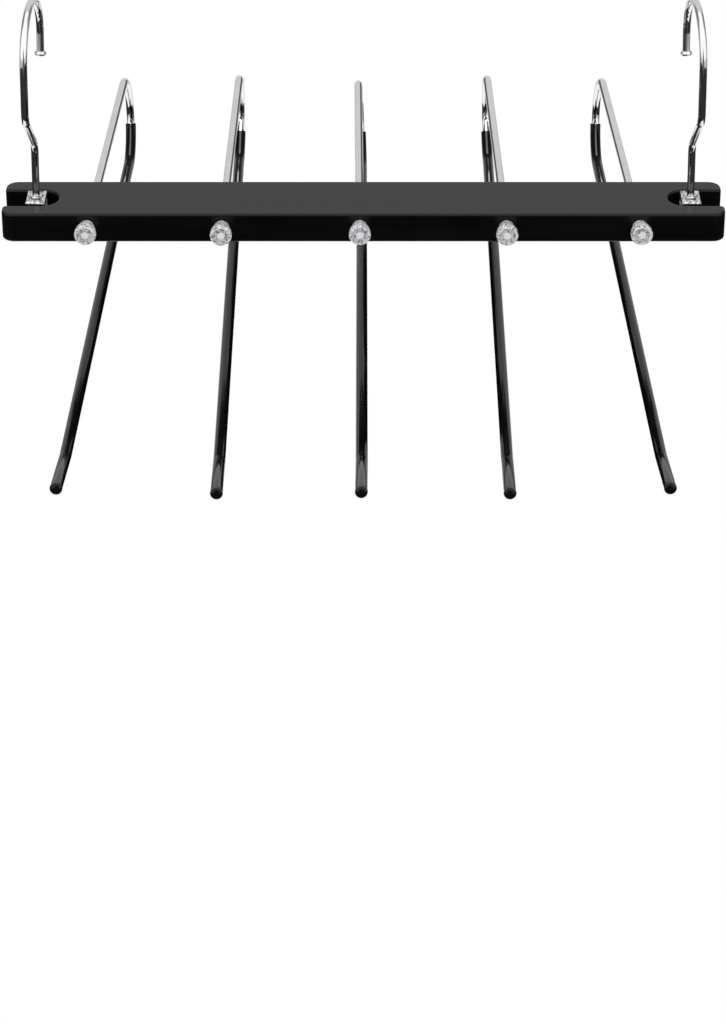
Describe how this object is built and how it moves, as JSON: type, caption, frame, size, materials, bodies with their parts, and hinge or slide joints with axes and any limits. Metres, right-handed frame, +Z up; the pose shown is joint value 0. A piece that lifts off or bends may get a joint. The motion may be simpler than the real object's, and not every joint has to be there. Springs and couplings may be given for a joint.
{
  "type": "trouser hanger",
  "caption": "Wooden bar with swinging U-bent trouser arms, non-slip coated on their lower legs, and a folding, swivelling hook at each end.",
  "frame": {"origin": "centre of the bar's underside", "axes": "+X along the bar, +Y from the arms' free ends towards their closed bends, +Z up towards the hooks"},
  "size_m": [0.38, 0.4261, 0.1727],
  "materials": {
    "black_lacquer": "black satin lacquer",
    "arm_chrome": "bright chrome plate",
    "hook_chrome": "bright chrome plate",
    "black_coating": "glossy non-slip sleeve",
    "clear_plastic": "clear, slightly frosted",
    "nickel": "bright nickel plate",
    "pin_steel": "plain steel",
    "collar_steel": "bright nickel plate"
  },
  "bodies": {
    "bar": {"bar": "black_lacquer", "pivot_pin_left": "pin_steel", "pivot_pin_right": "pin_steel"},
    "arm_1": {"arm_wire_1": "arm_chrome", "arm_coating_1": "black_coating", "stopper_1": "clear_plastic", "rear_collar_1": "collar_steel"},
    "arm_2": {"arm_wire_2": "arm_chrome", "arm_coating_2": "black_coating", "stopper_2": "clear_plastic", "rear_collar_2": "collar_steel"},
    "arm_3": {"arm_wire_3": "arm_chrome", "arm_coating_3": "black_coating", "stopper_3": "clear_plastic", "rear_collar_3": "collar_steel"},
    "arm_4": {"arm_wire_4": "arm_chrome", "arm_coating_4": "black_coating", "stopper_4": "clear_plastic", "rear_collar_4": "collar_steel"},
    "arm_5": {"arm_wire_5": "arm_chrome", "arm_coating_5": "black_coating", "stopper_5": "clear_plastic", "rear_collar_5": "collar_steel"},
    "swivel_left": {"swivel_block_left": "nickel"},
    "hook_left": {"hook_left": "hook_chrome", "hook_collar_left": "nickel"},
    "swivel_right": {"swivel_block_right": "nickel"},
    "hook_right": {"hook_right": "hook_chrome", "hook_collar_right": "nickel"}
  },
  "joints": [
    {"name": "arm_1_swing", "type": "hinge", "parent": "bar", "child": "arm_1", "pos_m": [-0.14402, 0, 0.009], "axis": [0.0384, 0.9992, -0.0087], "range_deg": [-70, 70]},
    {"name": "arm_2_swing", "type": "hinge", "parent": "bar", "child": "arm_2", "pos_m": [-0.07391, 0, 0.009], "axis": [0.0157, 0.9999, 0.0017], "range_deg": [-70, 70]},
    {"name": "arm_3_swing", "type": "hinge", "parent": "bar", "child": "arm_3", "pos_m": [-0.00199, 0, 0.009], "axis": [-0.0052, 0.9999, -0.0096], "range_deg": [-70, 70]},
    {"name": "arm_4_swing", "type": "hinge", "parent": "bar", "child": "arm_4", "pos_m": [0.07448, 0, 0.009], "axis": [-0.0201, 0.9998, 0.0009], "range_deg": [-70, 70]},
    {"name": "arm_5_swing", "type": "hinge", "parent": "bar", "child": "arm_5", "pos_m": [0.14402, 0, 0.009], "axis": [-0.0401, 0.9991, -0.0096], "range_deg": [-70, 70]},
    {"name": "left_hook_fold", "type": "hinge", "parent": "bar", "child": "swivel_left", "pos_m": [-0.173, 0, 0.008], "axis": [0, -1, 0], "range_deg": [-12, 170]},
    {"name": "left_hook_swivel", "type": "hinge", "parent": "swivel_left", "child": "hook_left", "pos_m": [-0.17283, 0, 0.0169], "axis": [0.0192, 0, 0.9998], "continuous": true},
    {"name": "right_hook_fold", "type": "hinge", "parent": "bar", "child": "swivel_right", "pos_m": [0.173, 0, 0.008], "axis": [0, 1, 0], "range_deg": [-12, 170]},
    {"name": "right_hook_swivel", "type": "hinge", "parent": "swivel_right", "child": "hook_right", "pos_m": [0.17283, 0, 0.0169], "axis": [-0.0192, 0, 0.9998], "continuous": true}
  ]
}
